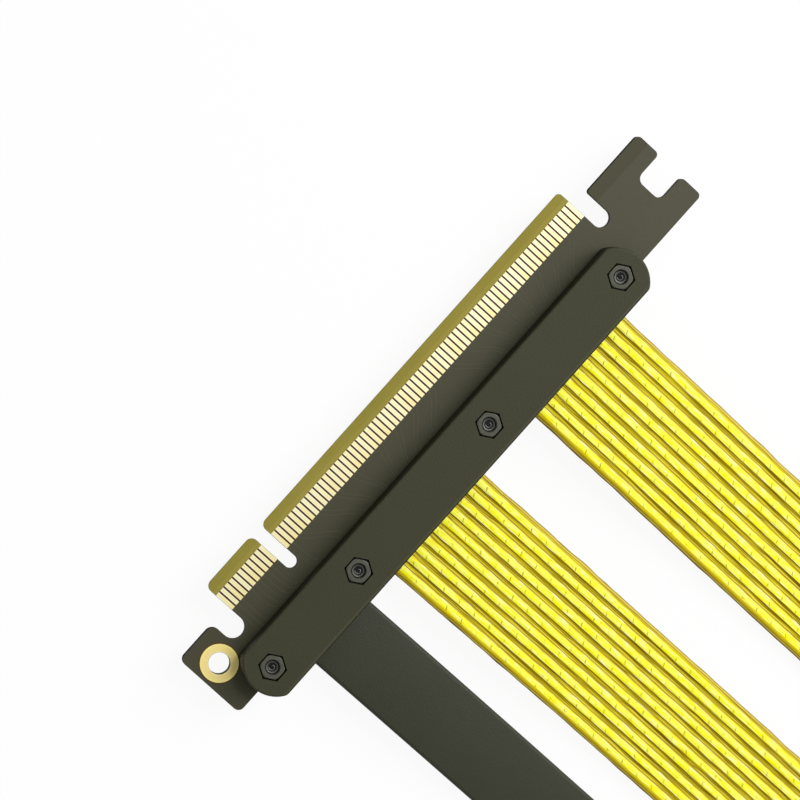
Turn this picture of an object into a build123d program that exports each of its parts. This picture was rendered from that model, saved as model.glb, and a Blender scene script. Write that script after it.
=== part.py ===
"""A ribbon extension lead for a sixteen-lane expansion slot.

One end is a plug: a thin black board whose gold-plated edge goes into the
slot of a computer's main board. The other end is the matching socket, which
takes the expansion card. Four yellow signal ribbons and one black power
ribbon join the two boards, and a moulded clamp of two covers, held by four
screws with hexagon nuts, grips the ribbons at each end.

The lead lies flat. +X runs along the boards, from the end with the mounting
hole to the end with the retention fork, +Y points out of the plug's card
edge, and +Z points up. The origin is on the surface that it lies on, under
the middle of the box around both ends. Sizes are in millimetres.
"""

from build123d import *

import math
import os

# Contacts of the card edge, the same count and pitch at both ends

contact_pitch = 1.0
short_row_count = 11
long_row_count = 71
key_step = 3.0
contact_width = 0.78
contact_length = 3.43
contact_setback = 2.07
plating_thickness = 0.05

# Plug board

board_thickness = 1.6
board_depth = 17.35
first_contact_inset = 11.73
card_side_margin = 0.01
bevel_length = 1.3
bevel_drop = 0.45
key_notch_width = 2.2
key_notch_depth = 8.5
left_notch_width = 3.71
left_notch_depth = 9.43
right_notch_width = 3.1
right_notch_depth = 9.22
tab_setback = 4.7
fork_length = 12.27
fork_setback = 3.24
fork_slot_width = 5.13
fork_slot_depth = 5.4
fork_slot_setback = 7.86
fork_lower_shortfall = 0.2
card_corner_radius = 1.2
card_end_corner_radius = 0.6
tab_corner_radius = 1.1
tab_notch_corner_radius = 1.4
fork_corner_radius = 0.8
fork_slot_corner_radius = 1.35

# Mounting hole in the plug's tab, with a plated ring on both faces

tab_hole_diameter = 3.5
tab_ring_diameter = 6.2
tab_hole_inset = 3.76
tab_hole_setback = 9.69

# Clamp covers, the same outline at both ends

cover_length = 91.4
cover_width = 9.5
cover_inset = 4.49
cover_setback = 11.03
cover_height = 4.2
cover_end_bulge = 2.7
cover_end_blend = 1.4
cover_edge_radius = 0.3
cover_wall = 1.0
cover_pocket_height = 1.4
board_clearance = 0.1

# Screws and nuts of the clamps, a size M2

first_screw_inset = 4.42
last_screw_inset = 4.40
screw_step_12 = 20.31
screw_step_23 = 30.94
screw_diameter = 1.96
screw_hole_diameter = 2.3
screw_head_diameter = 3.8
screw_head_height = 1.3
screw_recess = 0.3
screw_drive_width = 1.5
screw_drive_depth = 0.7
screw_tip_drop = 0.35
board_notch_diameter = 2.4
nut_across_flats = 4.0
nut_thickness = 1.6
nut_hole_diameter = 2.06
nut_drop = 0.08
nut_clearance = 0.05
nut_chamfer = 0.2

# Ribbons

ribbon_width = 21.5
ribbon_thickness = 1.0
ribbon_gap = 0.1
pair_count = 10
pair_pitch = 2.1
conductor_spacing = 0.7
conductor_thickness = 0.3
power_ribbon_width = 13.1
power_ribbon_thickness = 1.4
power_wire_count = 6
power_wire_pitch = 2.0
power_wire_thickness = 0.7
power_ribbon_inset = 20.3
signal_ribbon_insets = (43.25, 77.08)
slot_side_clearance = 0.1
ribbon_end_gap = 1.15
power_end_gap = 1.55
wire_step_margin = 0.08
ribbon_edge_share = 0.45
free_length = 200.0
signal_level_run = 17.0
signal_touchdown = 47.0
power_level_run = 18.5
power_touchdown = 50.0
low_arch = 0.3
corner_share = 0.45

# Solder pads under the conductors' ends

pad_length = 1.5
pad_width = 0.45
power_pad_width = 1.2
pad_setback = 2.1

# Socket board and the connector on it

socket_reach = 17.0
socket_setback = 9.5
socket_board_corner_radius = 1.0
socket_hole_diameter = 3.2
socket_ring_diameter = 6.0
socket_hole_inset = 4.4
housing_width = 7.5
housing_height = 11.25
housing_end_wall = 2.4
housing_standoff = 0.6
housing_foot_length = 2.0
housing_edge_chamfer = 0.3
slot_width = 1.9
slot_depth = 8.5
slot_lead_in = 0.6
slot_end_clearance = 0.25
slot_key_clearance = 0.2
cell_width = 0.7
cell_reach = 2.6
cell_top_wall = 1.0
peg_diameter = 2.2
peg_clearance = 0.05
peg_length = 1.9
spring_width = 0.5
spring_thickness = 0.2
spring_riser = 2.3
spring_touch = 0.62
spring_touch_drop = 3.0
spring_bend_height = 5.5
spring_tip = 1.5
spring_tip_drop = 1.5
tail_reach = 5.4
tail_pad_length = 1.7
tail_pad_width = 0.6
base_floor = 1.2
base_wall = 1.5
base_boss_diameter = 6.4

# Heights: the lower covers stand on the surface and carry the boards

board_bottom = cover_height
board_top = board_bottom + board_thickness
parting_height = board_bottom + board_thickness / 2
clamp_top = board_top + cover_height

# Places along X, from the board's left end

contact_span = (short_row_count + long_row_count - 2) * contact_pitch + key_step
card_side = contact_width / 2 + card_side_margin
board_length = first_contact_inset + contact_span + card_side + right_notch_width + fork_length
board_left = -board_length / 2
board_right = board_length / 2
contact_1_x = board_left + first_contact_inset
contact_11_x = contact_1_x + (short_row_count - 1) * contact_pitch
contact_12_x = contact_11_x + key_step
contact_82_x = contact_12_x + (long_row_count - 1) * contact_pitch
card_left = contact_1_x - card_side
card_right = contact_82_x + card_side
key_x = (contact_11_x + contact_12_x) / 2
tab_right = card_left - left_notch_width
fork_left = card_right + right_notch_width
tab_hole_x = board_left + tab_hole_inset
cover_left = board_left + cover_inset
cover_middle = cover_left + cover_length / 2
screw_1_x = cover_left + first_screw_inset
screw_2_x = screw_1_x + screw_step_12
screw_3_x = screw_2_x + screw_step_23
screw_4_x = cover_left + cover_length - last_screw_inset
screw_xs = (screw_1_x, screw_2_x, screw_3_x, screw_4_x)
power_x = board_left + power_ribbon_inset
signal_xs = tuple(board_left + inset for inset in signal_ribbon_insets)

# Places along Y, worked out from the length of the whole lead

lead_length = cover_setback + cover_width + free_length + cover_width + socket_reach
card_edge_y = lead_length / 2
board_back_y = card_edge_y - board_depth
plug_cover_front = card_edge_y - cover_setback
plug_cover_back = plug_cover_front - cover_width
socket_cover_back = plug_cover_back - free_length
socket_cover_front = socket_cover_back - cover_width
socket_edge_y = socket_cover_front - socket_reach
board_overlap = plug_cover_front - board_back_y
socket_board_back_y = socket_cover_front + board_overlap
socket_y = socket_cover_front - socket_setback
tab_hole_y = card_edge_y - tab_hole_setback
hole_places = [
    (board_left + socket_hole_inset, socket_y),
    (board_right - socket_hole_inset, socket_y),
]


class End:
    """Where one clamp lies, and which way its board points."""

    def __init__(self, name, front_y, outward):
        self.name = name
        self.outward = outward
        self.front = front_y
        self.middle = front_y - outward * cover_width / 2
        self.back = front_y - outward * cover_width
        self.board_back = front_y - outward * board_overlap


plug_end = End("plug", plug_cover_front, 1)
socket_end = End("socket", socket_cover_front, -1)


def contact_xs():
    """The middles of the eighty-two contacts in one row."""
    short = [contact_1_x + i * contact_pitch for i in range(short_row_count)]
    long = [contact_12_x + i * contact_pitch for i in range(long_row_count)]
    return short + long


def conductor_xs():
    """The middles of the signal conductors of both ribbons of one layer."""
    first_pair = -(pair_count - 1) * pair_pitch / 2
    places = []
    for ribbon_x in signal_xs:
        for i in range(pair_count):
            pair_x = ribbon_x + first_pair + i * pair_pitch
            places += [pair_x - conductor_spacing / 2, pair_x + conductor_spacing / 2]
    return places


def power_wire_xs():
    """The middles of the power ribbon's wires."""
    first = power_x - (power_wire_count - 1) * power_wire_pitch / 2
    return [first + i * power_wire_pitch for i in range(power_wire_count)]


def finish_node(solid, name):
    """Label a finished node and write it to its own STEP file."""
    solid.label = name
    export_step(solid, f"parts/{name}.step")


os.makedirs("parts", exist_ok=True)

# Plug board: a full rectangle first, then the steps, notches and fork cut out


def cut_notch(left, width, depth):
    """A notch with a full-round bottom, open through the card edge."""
    radius = width / 2
    with Locations((left + radius, card_edge_y - depth + radius)):
        Circle(radius, mode=Mode.SUBTRACT)
        Rectangle(width, depth, align=(Align.CENTER, Align.MIN), mode=Mode.SUBTRACT)


def cut_screw_notches(back_y, middle_y, outward):
    """Notches in the hidden back edge, through which the clamp screws pass."""
    reach = abs(middle_y - back_y)
    for screw_x in screw_xs:
        with Locations((screw_x, middle_y)):
            Circle(board_notch_diameter / 2, mode=Mode.SUBTRACT)
        with Locations((screw_x, (middle_y + back_y) / 2)):
            Rectangle(board_notch_diameter, reach, mode=Mode.SUBTRACT)


fork_slot_top = card_edge_y - fork_slot_setback
fork_slot_bottom = fork_slot_top - fork_slot_width
fork_slot_left = board_right - fork_slot_depth
fork_lower_right = board_right - fork_lower_shortfall
tab_top = card_edge_y - tab_setback
fork_top = card_edge_y - fork_setback

plug_corner_radii = (
    ((card_left, card_edge_y), card_corner_radius),
    ((key_x - key_notch_width / 2, card_edge_y), card_corner_radius),
    ((key_x + key_notch_width / 2, card_edge_y), card_corner_radius),
    ((card_right, card_edge_y), card_end_corner_radius),
    ((board_left, tab_top), tab_corner_radius),
    ((tab_right, tab_top), tab_notch_corner_radius),
    ((board_left, board_back_y), tab_corner_radius),
    ((fork_left, fork_top), card_end_corner_radius),
    ((board_right, fork_top), fork_corner_radius),
    ((board_right, fork_slot_top), fork_corner_radius),
    ((fork_slot_left, fork_slot_top), fork_slot_corner_radius),
    ((fork_slot_left, fork_slot_bottom), fork_slot_corner_radius),
    ((fork_lower_right, fork_slot_bottom), fork_corner_radius),
    ((fork_lower_right, board_back_y), fork_corner_radius),
)

with BuildPart() as plug_board:
    with BuildSketch(Plane.XY.offset(board_bottom)) as plug_outline:
        with Locations((0, card_edge_y)):
            Rectangle(board_length, board_depth, align=(Align.CENTER, Align.MAX))
        with Locations((board_left, card_edge_y)):
            Rectangle(
                tab_right - board_left,
                tab_setback,
                align=(Align.MIN, Align.MAX),
                mode=Mode.SUBTRACT,
            )
        with Locations((board_right, card_edge_y)):
            Rectangle(
                board_right - fork_left,
                fork_setback,
                align=(Align.MAX, Align.MAX),
                mode=Mode.SUBTRACT,
            )
        with Locations((board_right, fork_slot_top)):
            Rectangle(
                fork_slot_depth,
                fork_slot_width,
                align=(Align.MAX, Align.MAX),
                mode=Mode.SUBTRACT,
            )
        with Locations((board_right, fork_slot_top)):
            Rectangle(
                fork_lower_shortfall,
                fork_slot_top - board_back_y,
                align=(Align.MAX, Align.MAX),
                mode=Mode.SUBTRACT,
            )
        cut_notch(tab_right, left_notch_width, left_notch_depth)
        cut_notch(key_x - key_notch_width / 2, key_notch_width, key_notch_depth)
        cut_notch(card_right, right_notch_width, right_notch_depth)
        for corner, corner_radius in plug_corner_radii:
            fillet(plug_outline.vertices().sort_by_distance(corner)[0], corner_radius)
        cut_screw_notches(board_back_y, plug_end.middle, plug_end.outward)
        with Locations((tab_hole_x, tab_hole_y)):
            Circle(tab_hole_diameter / 2, mode=Mode.SUBTRACT)
    extrude(amount=board_thickness)

    # The bevel that guides the edge into a slot, the same on both faces
    with BuildSketch(Plane.YZ.offset(board_left)) as bevel_wedges:
        for face_height, drop in ((board_top, -bevel_drop), (board_bottom, bevel_drop)):
            with BuildLine():
                Polyline(
                    (card_edge_y - bevel_length, face_height),
                    (card_edge_y, face_height + drop),
                    (card_edge_y, face_height),
                    close=True,
                )
            make_face()
    extrude(amount=board_length, mode=Mode.SUBTRACT)
finish_node(plug_board.part, "plug_board")

# Plug contacts: flat gold fingers on both faces, one node for each face

finger_y = card_edge_y - contact_setback - contact_length / 2
finger_places = [(x, finger_y) for x in contact_xs()]

with BuildPart() as plug_contacts_top:
    with BuildSketch(Plane.XY.offset(board_top)):
        with Locations(*finger_places):
            Rectangle(contact_width, contact_length)
    extrude(amount=plating_thickness)
finish_node(plug_contacts_top.part, "plug_contacts_top")

with BuildPart() as plug_contacts_bottom:
    with BuildSketch(Plane.XY.offset(board_bottom - plating_thickness)):
        with Locations(*finger_places):
            Rectangle(contact_width, contact_length)
    extrude(amount=plating_thickness)
finish_node(plug_contacts_bottom.part, "plug_contacts_bottom")

# Hole rings: a flat gold ring on each face, with the board's hole in its middle

ring_heights = (board_bottom - plating_thickness, board_top)


def ring_outline(places, hole_diameter, ring_diameter):
    """Flat rings around holes at the given places."""
    with Locations(*places):
        Circle(ring_diameter / 2)
    with Locations(*places):
        Circle(hole_diameter / 2, mode=Mode.SUBTRACT)


with BuildPart() as plug_hole_ring:
    for height in ring_heights:
        with BuildSketch(Plane.XY.offset(height)):
            ring_outline([(tab_hole_x, tab_hole_y)], tab_hole_diameter, tab_ring_diameter)
        extrude(amount=plating_thickness)
finish_node(plug_hole_ring.part, "plug_hole_ring")

# Clamp covers: an upper and a lower half at each end. The pair meets behind
# the board at half its thickness, and the board lies in a recess between them.

screw_reach = clamp_top - screw_tip_drop
nut_top = clamp_top - nut_drop
nut_bottom = nut_top - nut_thickness
nut_pocket_width = nut_across_flats + 2 * nut_clearance
screw_head_top = screw_recess + screw_head_height
upper_ceiling = board_top + cover_pocket_height
lower_floor = board_bottom - cover_pocket_height


def cover_outline(end):
    """A long bar whose two ends are shallow arcs with softened corners."""
    half = cover_length / 2
    shoulder = half - cover_end_bulge
    side = cover_width / 2
    with BuildLine() as bar:
        Line((-shoulder, side), (shoulder, side))
        ThreePointArc((shoulder, side), (half, 0), (shoulder, -side))
        Line((shoulder, -side), (-shoulder, -side))
        ThreePointArc((-shoulder, -side), (-half, 0), (-shoulder, side))
    with BuildSketch() as face:
        make_face(bar.edges())
        fillet(face.vertices(), cover_end_blend)
    with Locations((cover_middle, end.middle)):
        add(face.sketch)


def board_recess(end):
    """The part of a cover's outline that the board fills, with clearance."""
    behind = board_clearance * end.outward
    depth = abs(end.front - end.board_back)
    with Locations((0, (end.front + end.board_back - behind) / 2)):
        Rectangle(board_length, depth + board_clearance)


def ribbon_pockets(end):
    """Room over and under the board for the conductors' soldered ends."""
    depth = cover_width - 2 * cover_wall
    for x, width in ribbon_widths():
        with Locations((x, end.middle)):
            Rectangle(width + 2 * slot_side_clearance, depth)


def ribbon_widths():
    """Where each ribbon lies along X, and how wide it is."""
    signals = [(x, ribbon_width) for x in signal_xs]
    return [(power_x, power_ribbon_width)] + signals


signal_slot_height = ribbon_thickness + ribbon_gap / 2
power_slot_height = power_ribbon_thickness / 2


def wall_slots(end, height_sign):
    """Slots through the back wall, half of each ribbon's height in each cover."""
    wall_middle = end.back + end.outward * cover_wall / 2
    heights = [power_slot_height] + [signal_slot_height] * len(signal_xs)
    for (x, width), height in zip(ribbon_widths(), heights):
        with Locations((x, wall_middle, parting_height + height_sign * height / 2)):
            Box(
                width + 2 * slot_side_clearance,
                cover_wall,
                height,
                mode=Mode.SUBTRACT,
            )


for end in (plug_end, socket_end):
    screw_places = [(x, end.middle) for x in screw_xs]

    with BuildPart() as cover_top:
        with BuildSketch(Plane.XY.offset(parting_height)):
            cover_outline(end)
        extrude(amount=clamp_top - parting_height)
        fillet(cover_top.faces().sort_by(Axis.Z)[-1].edges(), cover_edge_radius)
        with BuildSketch(Plane.XY.offset(parting_height)):
            board_recess(end)
        extrude(amount=board_top - parting_height, mode=Mode.SUBTRACT)
        with BuildSketch(Plane.XY.offset(parting_height)):
            ribbon_pockets(end)
        extrude(amount=upper_ceiling - parting_height, mode=Mode.SUBTRACT)
        wall_slots(end, 1)
        with BuildSketch(Plane.XY.offset(nut_bottom)):
            with Locations(*screw_places):
                RegularPolygon(nut_pocket_width / 2, 6, major_radius=False)
        extrude(amount=clamp_top - nut_bottom, mode=Mode.SUBTRACT)
        with BuildSketch(Plane.XY.offset(parting_height)):
            with Locations(*screw_places):
                Circle(screw_hole_diameter / 2)
        extrude(amount=nut_bottom - parting_height, mode=Mode.SUBTRACT)
    finish_node(cover_top.part, f"{end.name}_cover_top")

    with BuildPart() as cover_bottom:
        with BuildSketch():
            cover_outline(end)
        extrude(amount=parting_height)
        fillet(cover_bottom.faces().sort_by(Axis.Z)[0].edges(), cover_edge_radius)
        with BuildSketch(Plane.XY.offset(board_bottom)):
            board_recess(end)
        extrude(amount=parting_height - board_bottom, mode=Mode.SUBTRACT)
        with BuildSketch(Plane.XY.offset(lower_floor)):
            ribbon_pockets(end)
        extrude(amount=parting_height - lower_floor, mode=Mode.SUBTRACT)
        wall_slots(end, -1)
        with BuildSketch():
            with Locations(*screw_places):
                Circle(screw_head_diameter / 2 + nut_clearance)
        extrude(amount=screw_head_top, mode=Mode.SUBTRACT)
        with BuildSketch(Plane.XY.offset(screw_head_top)):
            with Locations(*screw_places):
                Circle(screw_hole_diameter / 2)
        extrude(amount=parting_height - screw_head_top, mode=Mode.SUBTRACT)

        # The socket's lower cover goes on under its whole board as a base
        if end is socket_end:
            base_depth = socket_reach + cover_width / 2
            base_middle = socket_edge_y + base_depth / 2
            inner_depth = socket_reach - 2 * base_wall
            inner_middle = socket_edge_y + socket_reach / 2
            with BuildSketch():
                with Locations((0, socket_edge_y + socket_reach / 2)):
                    RectangleRounded(board_length, socket_reach, socket_board_corner_radius)
            extrude(amount=board_bottom)
            with BuildSketch(Plane.XY.offset(base_floor)):
                with Locations((0, inner_middle)):
                    Rectangle(board_length - 2 * base_wall, inner_depth)
                with Locations(*hole_places):
                    Circle(base_boss_diameter / 2, mode=Mode.SUBTRACT)
            extrude(amount=board_bottom - base_floor, mode=Mode.SUBTRACT)
            with BuildSketch(Plane.XY.offset(board_bottom)):
                with Locations(*hole_places):
                    Circle(base_boss_diameter / 2)
            extrude(amount=-plating_thickness, mode=Mode.SUBTRACT)
            with BuildSketch():
                with Locations(*hole_places):
                    Circle(socket_hole_diameter / 2)
            extrude(amount=board_bottom, mode=Mode.SUBTRACT)
    finish_node(cover_bottom.part, f"{end.name}_cover_bottom")

# Fasteners: four screws from below, and a nut on each in the upper cover

for end in (plug_end, socket_end):
    screw_places = [(x, end.middle) for x in screw_xs]

    with BuildPart() as cover_nuts:
        with BuildSketch(Plane.XY.offset(nut_bottom)):
            with Locations(*screw_places):
                RegularPolygon(nut_across_flats / 2, 6, major_radius=False)
                Circle(nut_hole_diameter / 2, mode=Mode.SUBTRACT)
        extrude(amount=nut_thickness)
        hole_rims = cover_nuts.edges().filter_by(GeomType.CIRCLE)
        chamfer(hole_rims, nut_chamfer)
    finish_node(cover_nuts.part, f"{end.name}_cover_nuts")

    with BuildPart() as cover_screws:
        with BuildSketch(Plane.XY.offset(screw_recess)):
            with Locations(*screw_places):
                Circle(screw_head_diameter / 2)
        extrude(amount=screw_head_height)
        with BuildSketch(Plane.XY.offset(screw_head_top)):
            with Locations(*screw_places):
                Circle(screw_diameter / 2)
        extrude(amount=screw_reach - screw_head_top)
        tips = cover_screws.edges().group_by(Axis.Z)[-1]
        chamfer(tips, nut_chamfer)
        with BuildSketch(Plane.XY.offset(screw_recess)):
            with Locations(*screw_places):
                RegularPolygon(screw_drive_width / 2, 6, major_radius=False)
        extrude(amount=screw_drive_depth, mode=Mode.SUBTRACT)
    finish_node(cover_screws.part, f"{end.name}_cover_screws")

# Solder pads and conductors: each ribbon's copper ends run forward out of its
# end, step up or down onto the board, and lie on pads there. The ends are
# pressed square for soldering.

signal_lift = board_thickness / 2 + plating_thickness + conductor_thickness / 2
ribbon_offset = (ribbon_thickness + ribbon_gap) / 2
power_lift = board_thickness / 2 + plating_thickness + power_wire_thickness / 2


def wire_points(end, ribbon_end_y, start_lift, end_lift):
    """Points of a conductor from a ribbon's end to its pad, as (y, height)."""
    step_start = ribbon_end_y + end.outward * wire_step_margin
    step_end = end.board_back - end.outward * 2 * wire_step_margin
    tip = end.front - end.outward * (pad_setback - pad_length / 2 + cover_wall / 2)
    return [
        (ribbon_end_y, parting_height + start_lift),
        (step_start, parting_height + start_lift),
        (step_end, parting_height + end_lift),
        (tip, parting_height + end_lift),
    ]


def strip_outline(points, thickness):
    """The closed side view of a strip that follows these points."""
    upper = [(y, z + thickness / 2) for y, z in points]
    lower = [(y, z - thickness / 2) for y, z in points]
    return upper + lower[::-1]


for end in (plug_end, socket_end):
    ribbon_end_y = end.board_back - end.outward * ribbon_end_gap
    power_end_y = end.board_back - end.outward * power_end_gap
    pad_y = end.front - end.outward * (pad_setback + cover_wall / 2)

    with BuildPart() as pads_top:
        with BuildSketch(Plane.XY.offset(board_top)):
            with Locations(*[(x, pad_y) for x in conductor_xs()]):
                Rectangle(pad_width, pad_length)
            with Locations(*[(x, pad_y) for x in power_wire_xs()]):
                Rectangle(power_pad_width, pad_length)
        extrude(amount=plating_thickness)
    finish_node(pads_top.part, f"{end.name}_solder_pads_top")

    with BuildPart() as pads_bottom:
        with BuildSketch(Plane.XY.offset(board_bottom - plating_thickness)):
            with Locations(*[(x, pad_y) for x in conductor_xs()]):
                Rectangle(pad_width, pad_length)
        extrude(amount=plating_thickness)
    finish_node(pads_bottom.part, f"{end.name}_solder_pads_bottom")

    # One conductor of each kind is made, then copied along the board
    layer_wires = {}
    for layer, side in (("upper", 1), ("lower", -1)):
        with BuildPart() as wire:
            with BuildSketch(Plane.YZ.offset(-conductor_thickness / 2)):
                with BuildLine():
                    points = wire_points(
                        end, ribbon_end_y, side * ribbon_offset, side * signal_lift
                    )
                    Polyline(*strip_outline(points, conductor_thickness), close=True)
                make_face()
            extrude(amount=conductor_thickness)
        layer_wires[layer] = wire.part

    with BuildPart() as power_wire:
        with BuildSketch(Plane.YZ.offset(-power_wire_thickness / 2)):
            with BuildLine():
                points = wire_points(end, power_end_y, 0, power_lift)
                Polyline(*strip_outline(points, power_wire_thickness), close=True)
            make_face()
        extrude(amount=power_wire_thickness)

    with BuildPart() as signal_wires:
        with Locations(*[(x, 0, 0) for x in conductor_xs()]):
            add(layer_wires["upper"])
            add(layer_wires["lower"])
    finish_node(signal_wires.part, f"{end.name}_signal_wires")

    with BuildPart() as power_wires:
        with Locations(*[(x, 0, 0) for x in power_wire_xs()]):
            add(power_wire.part)
    finish_node(power_wires.part, f"{end.name}_power_wires")

# Ribbons: flat cords that leave the clamps level, sink to the surface and run
# along it. A route's points are distances from the plug clamp's back face and
# heights of the ribbon's middle. The lower signal ribbons lie on the surface,
# and the upper ones lie on them.

lower_clamp_height = parting_height - ribbon_offset
upper_clamp_height = parting_height + ribbon_offset
lower_rest_height = ribbon_thickness / 2
upper_rest_height = lower_rest_height + ribbon_thickness + ribbon_gap
power_rest_height = power_ribbon_thickness / 2
signal_inside = cover_width - board_overlap - ribbon_end_gap
power_inside = cover_width - board_overlap - power_end_gap


def signal_route(clamp_height, rest_height):
    """The points of a signal ribbon, from the plug to the socket."""
    return [
        (-signal_inside, clamp_height),
        (signal_level_run, clamp_height),
        (signal_touchdown, rest_height),
        (free_length / 2, rest_height + low_arch),
        (free_length - signal_touchdown, rest_height),
        (free_length - signal_level_run, clamp_height),
        (free_length + signal_inside, clamp_height),
    ]


power_route = [
    (-power_inside, parting_height),
    (power_level_run, parting_height),
    (power_touchdown, power_rest_height),
    (free_length / 2, power_rest_height + low_arch),
    (free_length - power_touchdown, power_rest_height),
    (free_length - power_level_run, parting_height),
    (free_length + power_inside, parting_height),
]


def corner_radii(points):
    """The largest arc that each corner's two runs allow."""
    radii = []
    for before, corner, after in zip(points, points[1:], points[2:]):
        run_in = math.dist(before, corner)
        run_out = math.dist(corner, after)
        heading_in = math.atan2(corner[1] - before[1], corner[0] - before[0])
        heading_out = math.atan2(after[1] - corner[1], after[0] - corner[0])
        half_turn = abs(heading_out - heading_in) / 2
        radii.append(corner_share * min(run_in, run_out) / math.tan(half_turn))
    return radii


ribbons = [("power_ribbon", power_x, power_route, power_ribbon_width, power_ribbon_thickness)]
for i, x in enumerate(signal_xs, start=1):
    upper = signal_route(upper_clamp_height, upper_rest_height)
    lower = signal_route(lower_clamp_height, lower_rest_height)
    ribbons.append((f"signal_ribbon_{i}_upper", x, upper, ribbon_width, ribbon_thickness))
    ribbons.append((f"signal_ribbon_{i}_lower", x, lower, ribbon_width, ribbon_thickness))

for name, x, route, width, thickness in ribbons:
    radii = corner_radii(route)
    edge_radius = ribbon_edge_share * thickness
    with BuildPart() as ribbon:
        with BuildLine(Plane.YZ.offset(x)) as ribbon_path:
            FilletPolyline(
                *[(plug_cover_back - distance, height) for distance, height in route],
                radius=radii,
            )
        ribbon_start = Plane(ribbon_path.line @ 0, x_dir=(1, 0, 0), z_dir=ribbon_path.line % 0)
        with BuildSketch(ribbon_start):
            RectangleRounded(width, thickness, edge_radius)
        sweep()
    length = ribbon_path.wire().length
    expected = length * (width * thickness - (4 - math.pi) * edge_radius**2)
    print(f"{name}: length {length:.2f}, radii {[round(r) for r in radii]},", end=" ")
    print(f"volume {ribbon.part.volume:.1f} of {expected:.1f}")
    finish_node(ribbon.part, name)

# Socket board, with pads for the contacts' tails and holes for the pegs

slot_left = card_left - slot_end_clearance
slot_right = card_right + slot_end_clearance
housing_left = slot_left - housing_end_wall
housing_right = slot_right + housing_end_wall
housing_middle_x = (housing_left + housing_right) / 2
housing_length = housing_right - housing_left
peg_places = [(key_x, socket_y), (slot_right + housing_end_wall / 2, socket_y)]

with BuildPart() as socket_board:
    with BuildSketch(Plane.XY.offset(board_bottom)) as socket_outline:
        depth = socket_reach + board_overlap
        with Locations((0, socket_edge_y + depth / 2)):
            RectangleRounded(board_length, depth, socket_board_corner_radius)
        cut_screw_notches(socket_board_back_y, socket_end.middle, socket_end.outward)
        with Locations(*hole_places):
            Circle(socket_hole_diameter / 2, mode=Mode.SUBTRACT)
        with Locations(*peg_places):
            Circle(peg_diameter / 2 + peg_clearance, mode=Mode.SUBTRACT)
    extrude(amount=board_thickness)
finish_node(socket_board.part, "socket_board")

with BuildPart() as socket_hole_rings:
    for height in ring_heights:
        with BuildSketch(Plane.XY.offset(height)):
            ring_outline(hole_places, socket_hole_diameter, socket_ring_diameter)
        extrude(amount=plating_thickness)
finish_node(socket_hole_rings.part, "socket_hole_rings")

tail_pad_y = tail_reach - tail_pad_length / 2
with BuildPart() as socket_contact_pads:
    with BuildSketch(Plane.XY.offset(board_top)):
        for side in (-1, 1):
            with Locations(*[(x, socket_y + side * tail_pad_y) for x in contact_xs()]):
                Rectangle(tail_pad_width, tail_pad_length)
    extrude(amount=plating_thickness)
finish_node(socket_contact_pads.part, "socket_contact_pads")

# Socket housing: a tall moulded bar with a slot for the card's edge, a key
# bar across it, and a cell on each side for every contact

housing_bottom = board_top + housing_standoff
housing_top = board_top + housing_height
slot_floor = housing_top - slot_depth
cell_top = housing_top - cell_top_wall
slot_key_width = key_notch_width - 2 * slot_key_clearance
cell_depth = cell_reach - slot_width / 2

with BuildPart() as socket_housing:
    with BuildSketch(Plane.XY.offset(housing_bottom)):
        with Locations((housing_middle_x, socket_y)):
            Rectangle(housing_length, housing_width)
    extrude(amount=housing_top - housing_bottom)
    chamfer(socket_housing.edges().filter_by(Axis.Z), housing_edge_chamfer)

    # Feet at both ends and under the key, which hold the body off the board
    with BuildSketch(Plane.XY.offset(board_top)):
        for foot_x in (
            housing_left + housing_foot_length / 2,
            key_x,
            housing_right - housing_foot_length / 2,
        ):
            with Locations((foot_x, socket_y)):
                Rectangle(housing_foot_length, housing_width - 2 * housing_edge_chamfer)
    extrude(amount=housing_standoff)

    # Pegs that place the housing in the board
    with BuildSketch(Plane.XY.offset(board_top)):
        with Locations(*peg_places):
            Circle(peg_diameter / 2)
    extrude(amount=-peg_length)

    # The slot in two lengths, either side of the key bar
    with BuildSketch(Plane.XY.offset(slot_floor)):
        with Locations((slot_left, socket_y)):
            Rectangle(
                key_x - slot_key_width / 2 - slot_left,
                slot_width,
                align=(Align.MIN, Align.CENTER),
            )
        with Locations((slot_right, socket_y)):
            Rectangle(
                slot_right - key_x - slot_key_width / 2,
                slot_width,
                align=(Align.MAX, Align.CENTER),
            )
    extrude(amount=slot_depth, mode=Mode.SUBTRACT)
    top_face = socket_housing.faces().filter_by(Axis.Z).sort_by(Axis.Z)[-1]
    chamfer([wire.edges() for wire in top_face.inner_wires()], slot_lead_in)

    # The contact cells, open to the slot and to the underside
    with BuildSketch(Plane.XY.offset(housing_bottom)):
        for side in (-1, 1):
            cell_y = socket_y + side * (slot_width / 2 + cell_depth / 2)
            with Locations(*[(x, cell_y) for x in contact_xs()]):
                Rectangle(cell_width, cell_depth)
    extrude(amount=cell_top - housing_bottom, mode=Mode.SUBTRACT)
finish_node(socket_housing.part, "socket_housing")

# Socket contacts: each is a bent strip with a foot soldered to its pad, a
# riser in its cell and a bow that presses on the card's finger

foot_height = board_top + plating_thickness + spring_thickness / 2
spring_middle_points = (
    (tail_reach, foot_height),
    (spring_riser, foot_height),
    (spring_riser, board_top + spring_bend_height),
    (spring_touch + spring_thickness / 2, housing_top - spring_touch_drop),
    (spring_tip, housing_top - spring_tip_drop),
)

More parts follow.
